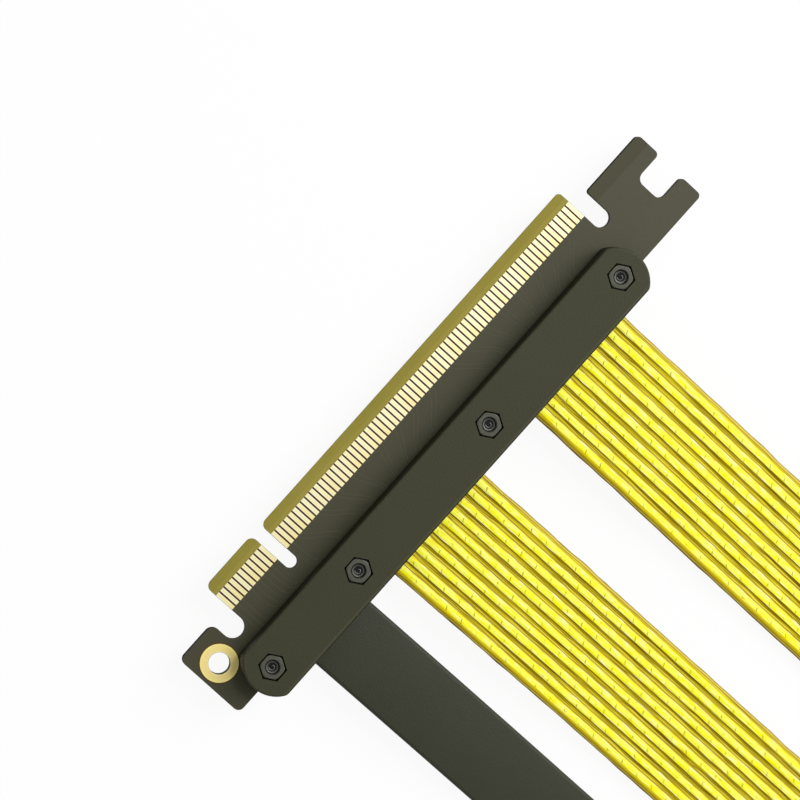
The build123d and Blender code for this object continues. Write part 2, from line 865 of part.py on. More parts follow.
for name, side in (("socket_contacts_plug_side", 1), ("socket_contacts_far_side", -1)):
    with BuildPart() as spring:
        with BuildSketch(Plane.YZ.offset(-spring_width / 2)):
            with BuildLine():
                middle = Polyline(*[(socket_y + side * y, z) for y, z in spring_middle_points])
                offset(middle, spring_thickness / 2, side=Side.BOTH, kind=Kind.INTERSECTION)
            make_face()
        extrude(amount=spring_width)

    with BuildPart() as socket_contacts:
        with Locations(*[(x, 0, 0) for x in contact_xs()]):
            add(spring.part)
    finish_node(socket_contacts.part, name)
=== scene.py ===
# %% [markdown]
# # A ribbon extension lead, dressed in Blender
#
# The object is a lead that moves an expansion slot to another place in a
# computer: a black board with a gold edge, a moulded clamp, yellow signal
# ribbons and one black power ribbon. Its boards, covers and fasteners come
# ready made as the frame. This lesson gives them their finishes, and builds
# the pieces that need a finer form than a plain solid: the ridged ribbons,
# the copper tracks under the solder mask and the threads of the screws.

# %% Load the frame
import math

import bmesh
import bpy
from mathutils import Matrix, Vector, noise


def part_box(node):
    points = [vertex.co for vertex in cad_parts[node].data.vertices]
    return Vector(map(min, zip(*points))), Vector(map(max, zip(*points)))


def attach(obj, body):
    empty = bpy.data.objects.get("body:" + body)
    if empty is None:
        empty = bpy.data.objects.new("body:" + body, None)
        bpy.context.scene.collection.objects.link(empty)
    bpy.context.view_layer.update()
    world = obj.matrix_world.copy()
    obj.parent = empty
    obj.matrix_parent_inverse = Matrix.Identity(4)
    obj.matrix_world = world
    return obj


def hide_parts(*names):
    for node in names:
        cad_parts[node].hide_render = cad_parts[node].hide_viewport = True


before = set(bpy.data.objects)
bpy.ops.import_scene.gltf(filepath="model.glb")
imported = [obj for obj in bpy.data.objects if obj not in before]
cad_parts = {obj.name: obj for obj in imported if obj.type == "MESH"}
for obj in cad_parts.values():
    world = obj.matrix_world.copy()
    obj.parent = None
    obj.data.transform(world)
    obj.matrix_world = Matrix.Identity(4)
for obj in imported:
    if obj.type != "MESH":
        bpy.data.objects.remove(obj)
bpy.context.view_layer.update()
mm = 0.001
print("nodes in the frame:", len(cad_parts))

# %% [markdown]
# ## Where things are
#
# Every place below is worked out from the boxes of the frame's own nodes, so
# nothing has to be fitted by eye. The boards are flat and lie level: X runs
# along them, Y points out of the card edge and Z points up.

# %% Read the places from the frame
board_low, board_high = (Vector(c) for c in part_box("plug_board"))
cover_low, cover_high = (Vector(c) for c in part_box("plug_cover_top"))
socket_low, socket_high = (Vector(c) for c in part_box("socket_board"))
finger_low, finger_high = (Vector(c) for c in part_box("plug_contacts_top"))
board_top = board_high.z
board_thickness = board_high.z - board_low.z
print("board top at", round(board_top / mm, 2), "mm")

# %% [markdown]
# ## The camera
#
# The photograph looks almost straight down through a long lens, with the
# camera a little towards the card edge, so that the front wall of the clamp
# shows as a dark line. The board runs from lower left to upper right, at 48
# degrees. One scale, in pixels to the millimetre, sets the lens once the
# distance is chosen.

# %% Place the camera
photo_width = 800
pixels_per_mm = 6.322
camera_distance = 0.700
camera_lean = Vector((-0.055, 0.155, 1.0)).normalized()
board_turn = math.radians(48.17)
target = Vector((-1.49, 120.36, board_top / mm)) * mm


def camera_axes(back, turn):
    """The camera's own right and up, for a board turned on the picture."""
    along = Vector((1, 0, 0))
    along = (along - along.dot(back) * back).normalized()
    towards_cables = along.cross(back)
    right = math.cos(turn) * along + math.sin(turn) * towards_cables
    up = math.sin(turn) * along - math.cos(turn) * towards_cables
    return right, up


camera_right, camera_up = camera_axes(camera_lean, board_turn)
camera_data = bpy.data.cameras.new("camera")
camera_data.sensor_width = 36.0
camera_data.lens = pixels_per_mm / mm * camera_distance / photo_width * camera_data.sensor_width
camera_data.clip_start = 0.01
camera = bpy.data.objects.new("camera", camera_data)
bpy.context.collection.objects.link(camera)
camera.matrix_world = Matrix.Translation(target + camera_distance * camera_lean) @ Matrix(
    (camera_right, camera_up, camera_lean)
).transposed().to_4x4()
bpy.context.scene.camera = camera
print("lens", round(camera_data.lens, 1), "mm")

# %% [markdown]
# ## Shader maths as Python
#
# A procedural finish is a sum over many small nodes. One class wraps a
# socket, so that `1 - mask * 0.5` adds its own Math nodes, and one method
# adds any other node from its settings and its inputs.

# %% A small language for materials


class Finish:
    """A material under construction, and the nodes that are added to it."""

    def __init__(self, name):
        self.material = bpy.data.materials.new(name)
        self.material.use_nodes = True
        self.tree = self.material.node_tree
        self.tree.nodes.clear()

    def node(self, kind, settings=None, ramp=None, out=0, **inputs):
        """Add a node; inputs are named with underscores, or as in_0, in_1."""
        made = self.tree.nodes.new(kind)
        for key, value in (settings or {}).items():
            setattr(made, key, value)
        if ramp:
            fill_ramp(made.color_ramp, ramp)
        for key, value in inputs.items():
            if key.startswith("in_"):
                socket = made.inputs[int(key[3:])]
            else:
                socket = made.inputs[key.replace("_", " ")]
            self.feed(socket, value)
        return Value(self, made.outputs[out])

    def feed(self, socket, value):
        """Link a value to a socket, or set the socket to a plain number."""
        if isinstance(value, Value):
            self.tree.links.new(value.socket, socket)
        else:
            socket.default_value = value

    def mix_colour(self, mask, first, second):
        """The first colour where the mask is 0, the second where it is 1."""
        made = self.tree.nodes.new("ShaderNodeMix")
        made.data_type = "RGBA"
        self.feed(made.inputs[0], mask)
        self.feed(made.inputs[6], first)
        self.feed(made.inputs[7], second)
        return Value(self, made.outputs[2])

    def place(self):
        """Object coordinates in millimetres, as three values."""
        point = self.node("ShaderNodeTexCoord", out=3)
        split = self.tree.nodes.new("ShaderNodeSeparateXYZ")
        self.feed(split.inputs[0], point)
        return [Value(self, split.outputs[i]) / mm for i in range(3)]

    def noise(self, scale, detail=3.0, vector=None, roughness=0.5):
        """Smooth noise; the scale is in features to the metre."""
        point = vector or self.node("ShaderNodeTexCoord", out=3)
        return self.node(
            "ShaderNodeTexNoise", Vector=point, Scale=scale, Detail=detail, Roughness=roughness
        )

    def bump(self, height, distance, strength=1.0):
        """A normal from a height between 0 and 1."""
        return self.node(
            "ShaderNodeBump", Height=height, Distance=distance, Strength=strength
        )

    def surface(self, **inputs):
        """Finish with one Principled shader."""
        shader = self.node("ShaderNodeBsdfPrincipled", **inputs)
        self.output(shader)
        return self.material

    def output(self, shader):
        """Link a shader to the material's output."""
        end = self.tree.nodes.new("ShaderNodeOutputMaterial")
        self.feed(end.inputs["Surface"], shader)


def fill_ramp(ramp, stops):
    """Set a colour ramp to a list of (place, colour) stops."""
    while len(ramp.elements) < len(stops):
        ramp.elements.new(0.5)
    for element, (place, colour) in zip(ramp.elements, stops):
        element.position = place
        element.color = colour


class Value:
    """A socket with arithmetic: each operator adds one Math node."""

    def __init__(self, finish, socket):
        self.finish = finish
        self.socket = socket

    def math(self, operation, *others, clamp=False):
        settings = {"operation": operation, "use_clamp": clamp}
        inputs = {f"in_{i}": value for i, value in enumerate((self, *others))}
        return self.finish.node("ShaderNodeMath", settings, **inputs)

    def __add__(self, other):
        return self.math("ADD", other)

    __radd__ = __add__

    def __mul__(self, other):
        return self.math("MULTIPLY", other)

    __rmul__ = __mul__

    def __sub__(self, other):
        return self.math("SUBTRACT", other)

    def __rsub__(self, other):
        return self.finish.node("ShaderNodeMath", {"operation": "SUBTRACT"}, in_0=other, in_1=self)

    def __truediv__(self, other):
        return self.math("DIVIDE", other)

    def step(self, low, high):
        """0 up to low, 1 from high, and smooth between them."""
        settings = {"interpolation_type": "SMOOTHSTEP"}
        return self.finish.node(
            "ShaderNodeMapRange", settings, Value=self, From_Min=low, From_Max=high
        )


def colour(red, green, blue):
    """A colour given as the 0 to 255 that a picture shows."""
    shares = [channel / 255 for channel in (red, green, blue)]
    linear = [c / 12.92 if c < 0.04045 else ((c + 0.055) / 1.055) ** 2.4 for c in shares]
    return (*linear, 1.0)


# %% [markdown]
# ## Floor and light
#
# The floor is plain and white. It shows its own white to the camera and to
# glossy surfaces, so the lamps needn't be strong enough to bleach it, and it
# still takes a soft shadow from the lead.

# %% Make the floor
floor_mesh = bpy.data.meshes.new("floor")
floor_shape = bmesh.new()
bmesh.ops.create_grid(floor_shape, x_segments=1, y_segments=1, size=3.0)
floor_shape.to_mesh(floor_mesh)
floor_shape.free()
floor = bpy.data.objects.new("floor", floor_mesh)
bpy.context.collection.objects.link(floor)
floor.location.z = -0.0001

floor_white = 0.93
floor_finish = Finish("floor")
light_path = floor_finish.tree.nodes.new("ShaderNodeLightPath")
seen = Value(floor_finish, light_path.outputs["Is Camera Ray"])
mirrored = Value(floor_finish, light_path.outputs["Is Glossy Ray"])
through = Value(floor_finish, light_path.outputs["Is Transmission Ray"])
glow = floor_finish.node("ShaderNodeEmission", Color=(1, 1, 1, 1), Strength=1.0)
paper = floor_finish.node("ShaderNodeBsdfDiffuse", Color=(0.9, 0.9, 0.9, 1))
floor_finish.output(
    floor_finish.node(
        "ShaderNodeMixShader", in_0=(seen + mirrored + through) * floor_white, in_1=paper, in_2=glow
    )
)
floor_mesh.materials.append(floor_finish.material)

# %% Make the lamps and the sky


def lamp(name, place, size, power):
    """A square soft lamp that points at the plug."""
    data = bpy.data.lights.new(name, "AREA")
    data.size = size
    data.energy = power
    made = bpy.data.objects.new(name, data)
    made.location = place
    made.rotation_euler = (target - Vector(place)).to_track_quat("-Z", "Y").to_euler()
    bpy.context.collection.objects.link(made)
    return made


lamp("soft_box", (0.40, -0.10, 0.60), 0.60, 2.1)
lamp("side_lamp", (0.42, -0.04, 0.30), 0.34, 1.5)
lamp("top_lamp", (0.30, 0.09, 0.62), 0.14, 0.8)
sky = bpy.data.worlds.new("sky")
sky.use_nodes = True
sky.node_tree.nodes["Background"].inputs["Color"].default_value = (1, 1, 1, 1)
sky.node_tree.nodes["Background"].inputs["Strength"].default_value = 0.40
bpy.context.scene.world = sky
bpy.context.scene.view_settings.view_transform = "Standard"

# %% [markdown]
# ## Routes of the ribbons
#
# Each ribbon leaves its clamp level, sinks to the surface and runs along it.
# The route's points are those of the construction, as (distance from the
# plug clamp's back, height of the middle), in millimetres. A NURBS curve with
# those points as controls gives the smooth line that the ribbon follows.

# %% Write down the routes
free_length = 200.0
signal_inside = 2.03
power_inside = 1.63


def signal_route(clamp_height, rest_height):
    """The points of a signal ribbon, from the plug to the socket."""
    return (
        (-signal_inside, clamp_height),
        (17.0, clamp_height),
        (47.0, rest_height),
        (100.0, rest_height + 0.3),
        (153.0, rest_height),
        (183.0, clamp_height),
        (free_length + signal_inside, clamp_height),
    )


upper_route = signal_route(5.55, 1.60)
lower_route = signal_route(4.45, 0.50)
power_route = (
    (-power_inside, 5.00),
    (18.5, 5.00),
    (50.0, 0.70),
    (100.0, 1.00),
    (150.0, 0.70),
    (181.5, 5.00),
    (free_length + power_inside, 5.00),
)
exit_y = cover_low.y


def smooth_line(name, x, route, drift):
    """Points along the route's NURBS spline; drift moves each one along X."""
    data = bpy.data.curves.new(name, "CURVE")
    data.dimensions = "3D"
    spline = data.splines.new("NURBS")
    spline.points.add(len(route) - 1)
    for point, (distance, height), shift in zip(spline.points, route, drift):
        point.co = (x + shift * mm, exit_y - distance * mm, height * mm, 1.0)
    spline.order_u = 3
    spline.use_endpoint_u = True
    spline.resolution_u = 40
    holder = bpy.data.objects.new(name, data)
    line = bpy.data.meshes.new_from_object(holder)
    points = [vert.co.copy() for vert in line.vertices]
    bpy.data.objects.remove(holder)
    bpy.data.meshes.remove(line)
    return points


def even_stations(points, spacing):
    """Points at an even spacing along a line, each with its distance in mm."""
    reached = [0.0]
    for a, b in zip(points, points[1:]):
        reached.append(reached[-1] + (b - a).length)
    count = max(2, round(reached[-1] / spacing))
    stations = []
    segment = 0
    for i in range(count + 1):
        wanted = reached[-1] * i / count
        while segment < len(points) - 2 and reached[segment + 1] < wanted:
            segment += 1
        share = (wanted - reached[segment]) / (reached[segment + 1] - reached[segment])
        stations.append((points[segment].lerp(points[segment + 1], share), wanted / mm))
    return stations


still = (0.0,) * len(upper_route)
line_length = even_stations(smooth_line("line", 0.0, upper_route, still), mm)[-1][1]
print("upper ribbon's line is", round(line_length, 1), "mm long")

# %% [markdown]
# ## Sweeping a section
#
# Ribbons, copper tracks and screw threads are all one section carried along
# a line. The sweep starts from one closed ring of vertices and extrudes its
# edges from station to station. It also keeps two numbers for each vertex,
# the distance across and along in millimetres, and gives them to the mesh as
# its own UV map, so that a pattern can follow the piece wherever it bends.

# %% Extrude a ring from station to station


def next_ring(ring, fresh):
    """The newly extruded vertices, in the order of the ring they came from."""
    return [
        next(e.other_vert(vert) for e in vert.link_edges if e.other_vert(vert) in fresh)
        for vert in ring
    ]


def sweep(shape, count, ring_at, capped=True):
    """Extrude a closed ring; ring_at(i) lists (place, across, along)."""
    across_along = {}
    ring = []
    for place, across, along in ring_at(0):
        vert = shape.verts.new(place)
        across_along[vert] = (across, along)
        ring.append(vert)
    start = shape.faces.new(ring)
    edges = list(start.edges)
    swept = [start]
    if not capped:
        bmesh.ops.delete(shape, geom=[start], context="FACES_ONLY")
        swept = []
    for i in range(1, count):
        grown = bmesh.ops.extrude_edge_only(shape, edges=edges)["geom"]
        fresh = {g for g in grown if isinstance(g, bmesh.types.BMVert)}
        swept += [g for g in grown if isinstance(g, bmesh.types.BMFace)]
        ring = next_ring(ring, fresh)
        for vert, (place, across, along) in zip(ring, ring_at(i)):
            vert.co = place
            across_along[vert] = (across, along)
        edges = [g for g in grown if isinstance(g, bmesh.types.BMEdge) and fresh.issuperset(g.verts)]
    if capped:
        swept.append(shape.faces.new(ring[::-1]))
    bmesh.ops.recalc_face_normals(shape, faces=swept)
    layer = shape.loops.layers.uv.verify()
    for face in swept:
        for loop in face.loops:
            loop[layer].uv = across_along[loop.vert]
    return swept


def add_piece(name, shape, material, stands_for=(), smooth=True):
    """Turn a bmesh into a piece of the object, with its finish and its body."""
    mesh = bpy.data.meshes.new(name)
    for face in shape.faces:
        face.smooth = smooth
    shape.to_mesh(mesh)
    shape.free()
    mesh.materials.append(material)
    piece = bpy.data.objects.new(name, mesh)
    bpy.context.collection.objects.link(piece)
    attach(piece, "root")
    if stands_for:
        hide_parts(*stands_for)
    print(name, "has", sum(len(p.vertices) - 2 for p in mesh.polygons), "triangles")
    return piece


# %% [markdown]
# ## The signal ribbons' section
#
# A signal ribbon holds ten foil-wrapped pairs side by side between two
# yellow films. Each pair stands up as a rounded ridge, the films dip between
# them, and they end in a thin flange at both edges. Near the clamp, and a
# little everywhere, the film is wrinkled, so the height also follows smooth
# noise along the ribbon.

# %% Draw the section of a signal ribbon
ribbon_width = 21.5
ribbon_thickness = 1.0
flange_width = 0.5
flange_thickness = 0.2
groove_thickness = 0.5
pair_count = 10
pair_pitch = (ribbon_width - 2 * flange_width) / pair_count
crest_share = 0.52


def film_height(across):
    """Half the ribbon's thickness at a place across it, in mm."""
    inside = ribbon_width / 2 - abs(across)
    if inside < flange_width:
        return flange_thickness / 2
    turns = (across + ribbon_width / 2 - flange_width) / pair_pitch
    off_crest = abs(turns % 1.0 - 0.5) * 2
    slope = min(1.0, max(0.0, (off_crest - crest_share) / (1 - crest_share)))
    dip = slope * slope * (3 - 2 * slope)
    crown = 0.06 * off_crest * off_crest
    low = groove_thickness / 2
    return low + (ribbon_thickness / 2 - crown - low) * (1 - dip)


def places_across(points_per_pair):
    """Places across the ribbon, from flange to flange, in mm."""
    half = ribbon_width / 2
    first = -half + flange_width
    places = [-half, -half + 0.96 * flange_width]
    for i in range(pair_count * points_per_pair + 1):
        places.append(first + i * pair_pitch / points_per_pair)
    return places + [half - 0.96 * flange_width, half]


def wrinkle(across, along, seed):
    """How far the film stands off its smooth shape, in mm."""
    near_clamp = max(0.0, 1 - along / 14.0)
    slow = noise.noise(Vector((across * 0.45, along * 0.10, seed)))
    quick = noise.noise(Vector((across * 1.1, along * 0.55, seed + 7.0)))
    return 0.035 * slow + (0.018 + 0.05 * near_clamp) * quick


print("half height of the first ridge:", round(film_height(9.725), 3), "mm")

# %% Sweep a ribbon along its line


def ribbon_frame(stations, i):
    """The place, and the direction out of the upper face, at a station."""
    before = stations[max(0, i - 1)][0]
    after = stations[min(len(stations) - 1, i + 1)][0]
    heading = (after - before).normalized()
    return stations[i][0], Vector((1, 0, 0)).cross(-heading).normalized()


def edge_wave(across, along, seed):
    """How far the welded edge wanders in from a straight line, in mm."""
    near_edge = max(0.0, abs(across) - (ribbon_width / 2 - 1.0))
    side = math.copysign(1.0, across)
    return -side * near_edge * (0.10 + 0.16 * noise.noise(Vector((along * 0.22, side * 5, seed))))


def signal_ribbon(name, x, route, drift, pinch, spacing, points_per_pair, seed):
    """A ridged ribbon from clamp to clamp; pinch is what it loses in width."""
    line = smooth_line(name, x, route, drift)
    stations = even_stations(line, spacing * mm)
    places = places_across(points_per_pair)

    def ring_at(i):
        middle, out = ribbon_frame(stations, i)
        along = stations[i][1]
        to_clamp = min(along, stations[-1][1] - along)
        narrowing = 1 - pinch / ribbon_width * min(1.0, to_clamp / 40)
        ring = []
        for across in places:
            height = film_height(across) + wrinkle(across, to_clamp, seed)
            reach = across * narrowing + edge_wave(across, along, seed)
            ring.append((middle + Vector((reach * mm, 0, 0)) + height * mm * out, across, along))
        for across in reversed(places):
            height = film_height(across)
            reach = across * narrowing + edge_wave(across, along, seed)
            ring.append((middle + Vector((reach * mm, 0, 0)) - height * mm * out, across, along))
        return ring

    shape = bmesh.new()
    sweep(shape, len(stations), ring_at)
    piece = add_piece(name + "_film", shape, signal_film, (name,))
    stations[-1][1] * mm
    return piece


print("a ring has", 2 * len(places_across(8)), "points")

# %% [markdown]
# ## The yellow film
#
# Through the clear yellow film one sees the foil round each pair: bright on
# the ridge, with a thin seam across it at every turn of the foil, and olive
# in the groove, where the two films are welded together in fine lines. Shade
# on the ridges' flanks and edges, a pale sheen, glints and a light line in
# each groove are painted into the colour as well. All of it follows the
# ribbon, so the material reads the piece's own UV map, which holds
# millimetres across and along.

# %% Start the film on its UV map
film = Finish("signal_film")
uv = film.tree.nodes.new("ShaderNodeTexCoord")
uv_split = film.tree.nodes.new("ShaderNodeSeparateXYZ")
film.tree.links.new(uv.outputs["UV"], uv_split.inputs[0])
across = Value(film, uv_split.outputs[0])
along = Value(film, uv_split.outputs[1])


def film_noise(across_scale, along_scale, detail=2.0, offset=0.0):
    """Noise on the film's UV map, with its own scale each way, per mm."""
    point = film.node(
        "ShaderNodeCombineXYZ", X=across * across_scale + offset, Y=along * along_scale, Z=0.0
    )
    return film.node("ShaderNodeTexNoise", Vector=point, Scale=1.0, Detail=detail, Roughness=0.5)


def thin_line(place, middle, half_width):
    """1 along a thin line, fading out over its half width."""
    return 1 - (place - middle).math("ABSOLUTE").step(half_width * 0.35, half_width)


print("nodes in the film so far:", len(film.tree.nodes))

# %% Count the ridges across the film
sway = film_noise(0.35, 0.045) - 0.5
ripple = film_noise(1.2, 0.35) - 0.5
at_clamp = 1 - along.step(1.0, 9.0)
turns = (across + (ribbon_width / 2 - flange_width)) / pair_pitch
turns = turns + sway * 0.07 + ripple * (at_clamp * 0.16 + 0.04)
pair_number = turns.math("FLOOR")
phase = turns - pair_number
groove_place = (phase + 0.5).math("FRACT") - 0.5
in_groove = 1 - groove_place.math("ABSOLUTE").step(0.165, 0.205)
patches = film_noise(1.4, 0.35, 4.0)
streaks = film_noise(4.0, 0.09, 3.0)
specks = film_noise(2.6, 1.3, 3.0, 11.0)
print("nodes in the film so far:", len(film.tree.nodes))

# %% Colour the ridges, with painted shade and a painted sheen
# The ramp darkens both flanks of each ridge and pales it towards +X: painted shade and painted highlight across
# the ridge.
ridge_colour = film.node(
    "ShaderNodeValToRGB",
    Fac=phase,
    ramp=(
        (0.190, colour(190, 156, 0)),
        (0.230, colour(228, 210, 0)),
        (0.300, colour(246, 243, 6)),
        (0.450, colour(250, 247, 24)),
        (0.620, colour(253, 252, 60)),
        (0.720, colour(248, 246, 18)),
        (0.770, colour(220, 200, 0)),
        (0.810, colour(160, 128, 0)),
    ),
)
# Pale patches on the ridges are a painted sheen.
painted_sheen = (patches * 0.5 + streaks * 0.5).step(0.44, 0.62)
ridge_colour = film.mix_colour(painted_sheen * 0.6, ridge_colour, colour(255, 255, 126))
deep = (patches * 0.4 + streaks * 0.6).step(0.50, 0.34)
ridge_colour = film.mix_colour(deep * 0.45, ridge_colour, colour(240, 222, 8))
ridge_colour = film.mix_colour(specks.step(0.62, 0.72) * 0.6, ridge_colour, colour(214, 182, 0))
# Painted glints: small highlights painted as colour.
painted_glints = film_noise(6.5, 0.30, 2.0, 23.0).step(0.54, 0.68)
ridge_colour = film.mix_colour(painted_glints * 0.8, ridge_colour, colour(255, 255, 204))
print("nodes in the film so far:", len(film.tree.nodes))

# %% Colour the grooves, with a painted highlight line and painted shade at the ridges' feet
groove_tone = film_noise(0.9, 0.10, 2.0, 5.0).step(0.36, 0.64)
groove_colour = film.mix_colour(groove_tone, colour(168, 152, 0), colour(206, 188, 22))
fine_lines = film_noise(9.0, 0.05, 2.0, 37.0)
groove_colour = film.mix_colour(fine_lines.step(0.53, 0.62) * 0.7, groove_colour, colour(224, 204, 56))
groove_colour = film.mix_colour(fine_lines.step(0.46, 0.38) * 0.7, groove_colour, colour(146, 118, 0))
film_colour = film.mix_colour(in_groove, ridge_colour, groove_colour)
wander = (film_noise(0.5, 0.08, 2.0, 17.0) - 0.5) * 0.5
first_flank = 1 - across.step(-ribbon_width / 2 + 0.9, -ribbon_width / 2 + 1.1)
last_flank = across.step(ribbon_width / 2 - 1.1, ribbon_width / 2 - 0.9)
# A light line in the groove: a painted highlight.
painted_groove_highlight = thin_line(groove_place, wander - 0.05, 0.05) * film_noise(0.6, 0.07, 2.0, 29.0).step(0.40, 0.60)
film_colour = film.mix_colour(in_groove * painted_groove_highlight * 0.85, film_colour, colour(238, 222, 72))
weld = (film_noise(0.5, 0.11, 2.0, 41.0) - 0.5) * 0.6
first_weld = thin_line(groove_place, wander * 0.4 - 0.145, 0.055) * 0.8
second_weld = thin_line(groove_place, weld + 0.04, 0.05) * film_noise(0.7, 0.09, 2.0, 53.0).step(0.35, 0.6)
first_weld = first_weld * (1 - last_flank)
film_colour = film.mix_colour(first_weld, film_colour, colour(142, 110, 0))
film_colour = film.mix_colour(in_groove * second_weld * 0.85, film_colour, colour(112, 82, 4))
# A dark brown line at the foot of each ridge's -X flank: painted shade on the side away from the light.
shaded_ridge_foot = thin_line(groove_place, weld * 0.12 + 0.165, 0.055) * (1 - first_flank)
foot_tone = film_noise(0.4, 0.12, 2.0, 67.0).step(0.25, 0.60) * 0.6 + 0.4
film_colour = film.mix_colour(shaded_ridge_foot * foot_tone, film_colour, colour(96, 66, 0))
film_colour = film.mix_colour(first_flank, film_colour, colour(232, 206, 22))
print("nodes in the film so far:", len(film.tree.nodes))

# %% Add the seams of the foil
seam_pitch = 3.25
seam_slant = 0.465
seam_place = (
    (along + across * seam_slant) / seam_pitch + pair_number * 0.42 + ripple * 0.12
).math("FRACT")
seam = thin_line(seam_place, 0.5, 0.045)
seam_reach = 1 - (phase - 0.40 + sway * 0.5).math("ABSOLUTE").step(0.12, 0.20)
seam_strength = film_noise(0.9, 0.4, 2.0, 71.0).step(0.36, 0.60)
seam_mask = seam * seam_reach * (seam_strength * 0.8 + 0.2)
film_colour = film.mix_colour(seam_mask * 0.85, film_colour, colour(186, 164, 0))
print("seams every", seam_pitch, "mm")

# %% Colour the welded edges, the left one partly with painted shade
flange_line = ribbon_width / 2 - flange_width
left_edge = (across * -1).step(flange_line - 0.05, flange_line + 0.05)
right_edge = across.step(flange_line - 0.05, flange_line + 0.05)
edge_tone = film_noise(0.5, 0.25, 2.0, 83.0)
# The left flange is painted browner than the right: partly its own colour, partly painted shade on the side
# away from the light.
left_edge_brown_and_shade = film.mix_colour(edge_tone.step(0.38, 0.62), colour(222, 190, 44), colour(196, 158, 30))
film_colour = film.mix_colour(left_edge, film_colour, left_edge_brown_and_shade)
film_colour = film.mix_colour(right_edge, film_colour, colour(216, 194, 86))
edge_line = thin_line(across, -flange_line - 0.26, 0.14)
film_colour = film.mix_colour(edge_line * 0.8, film_colour, colour(255, 240, 120))
inner_line = thin_line(across, flange_line - 0.02, 0.12)
film_colour = film.mix_colour(inner_line * (edge_tone * 0.5 + 0.5), film_colour, colour(140, 98, 0))
outermost = across.math("ABSOLUTE").step(ribbon_width / 2 - 0.20, ribbon_width / 2 - 0.12)
film_colour = film.mix_colour(outermost * (edge_tone * 0.5 + 0.5), film_colour, colour(136, 108, 2))
print("nodes in the film so far:", len(film.tree.nodes))

# %% Give the film its gloss and its creases
welds = in_groove * (first_weld + second_weld) + shaded_ridge_foot
film_creases = patches * 0.4 + streaks * 0.6 - seam_mask * 0.3 - welds * 0.3
signal_film = film.surface(
    Base_Color=film_colour,
    Roughness=patches * 0.2 + 0.26 + in_groove * 0.3,
    Specular_IOR_Level=0.06,
    Coat_Weight=0.04,
    Coat_Roughness=0.15,
    Normal=film.bump(film_creases, 0.00020, 0.8),
)
print("nodes in the film:", len(film.tree.nodes))

# %% Lay the four signal ribbons
ribbon_1_x = (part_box("signal_ribbon_1_upper")[0].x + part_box("signal_ribbon_1_upper")[1].x) / 2
ribbon_2_x = (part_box("signal_ribbon_2_upper")[0].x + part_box("signal_ribbon_2_upper")[1].x) / 2
drift_1 = (0.1, 0.45, 0.95, 1.1, 0.4, 0.0, 0.0)
drift_2 = (-0.08, -0.08, 0.0, 0.0, 0.0, 0.0, 0.0)
signal_ribbon("signal_ribbon_1_upper", ribbon_1_x, upper_route, drift_1, 0.40, 1.0, 8, 1.0)
signal_ribbon("signal_ribbon_2_upper", ribbon_2_x, upper_route, drift_2, 0.0, 1.0, 8, 21.0)
signal_ribbon("signal_ribbon_1_lower", ribbon_1_x, lower_route, drift_1, 0.40, 2.5, 4, 41.0)
signal_ribbon("signal_ribbon_2_lower", ribbon_2_x, lower_route, drift_2, 0.0, 2.5, 4, 61.0)

# %% [markdown]
# ## The power ribbon
#
# The black ribbon carries the slot's power in thick wires inside one smooth
# satin jacket. Its section is a flat bar with rounded edges, hardly crowned,
# swept along its own line.

# %% Make the black jacket's finish
jacket = Finish("power_jacket")
jacket_grain = jacket.noise(2600.0, 3.0)
jacket_cloud = jacket.noise(60.0, 2.0)
power_jacket = jacket.surface(
    Base_Color=jacket.mix_colour(jacket_cloud, colour(50, 52, 39), colour(58, 60, 47)),
    Roughness=jacket_cloud * 0.12 + 0.44,
    Specular_IOR_Level=0.2,
    Normal=jacket.bump(jacket_grain * 0.6 + jacket_cloud * 0.4, 0.00006, 0.6),
)
print("nodes in the jacket:", len(jacket.tree.nodes))

# %% Lay the power ribbon
power_width = 13.1
power_thickness = 1.4
power_edge = 0.63


def power_section():
    """The jacket's section as (across, height) pairs, in mm."""
    half = power_width / 2
    section = []
    for corner_x, corner_z, start in (
        (half, power_thickness / 2, 0),
        (-half, power_thickness / 2, 90),
        (-half, -power_thickness / 2, 180),
        (half, -power_thickness / 2, 270),
    ):
        for i in range(6):
            turn = math.radians(start + 18 * i)
            section.append(
                (
                    corner_x - math.copysign(power_edge, corner_x) + power_edge * math.cos(turn),
                    corner_z - math.copysign(power_edge, corner_z) + power_edge * math.sin(turn),
                )
            )
    return section


power_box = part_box("power_ribbon")
power_x = (power_box[0].x + power_box[1].x) / 2
power_drift = (0.05, 0.3, 0.55, 0.7, 0.3, 0.0, 0.0)
power_line = smooth_line("power_ribbon", power_x, power_route, power_drift)
power_stations = even_stations(power_line, 2 * mm)


def power_ring(i):
    """The jacket's ring at a station."""
    middle, out = ribbon_frame(power_stations, i)
    return [
        (middle + Vector((a * mm, 0, 0)) + h * mm * out, a, power_stations[i][1])
        for a, h in power_section()
    ]


power_shape = bmesh.new()
sweep(power_shape, len(power_stations), power_ring)
power_piece = add_piece("power_ribbon_jacket", power_shape, power_jacket, ("power_ribbon",))
power_stations[-1][1] * mm

# %% [markdown]
# ## Solder mask
#
# The boards are glass fibre under a black solder mask. The mask is smooth
# and satin, and the weave of the glass shows in it as a faint relief. On the
# plug board the mask stops short of the card edge: there the bare board
# shows olive, and in the thin gaps between the contacts it is dark brown,
# partly its own colour and partly painted shade. The plug board's upright
# edges are painted dark as shade.

# %% Mix the boards' finish


def side_walls(finish):
    """1 on upright walls, and 0 on level faces."""
    facing = finish.tree.nodes.new("ShaderNodeNewGeometry")
    parts = finish.tree.nodes.new("ShaderNodeSeparateXYZ")
    finish.tree.links.new(facing.outputs["Normal"], parts.inputs[0])
    return 1 - Value(finish, parts.outputs[2]).math("ABSOLUTE").step(0.3, 0.6)


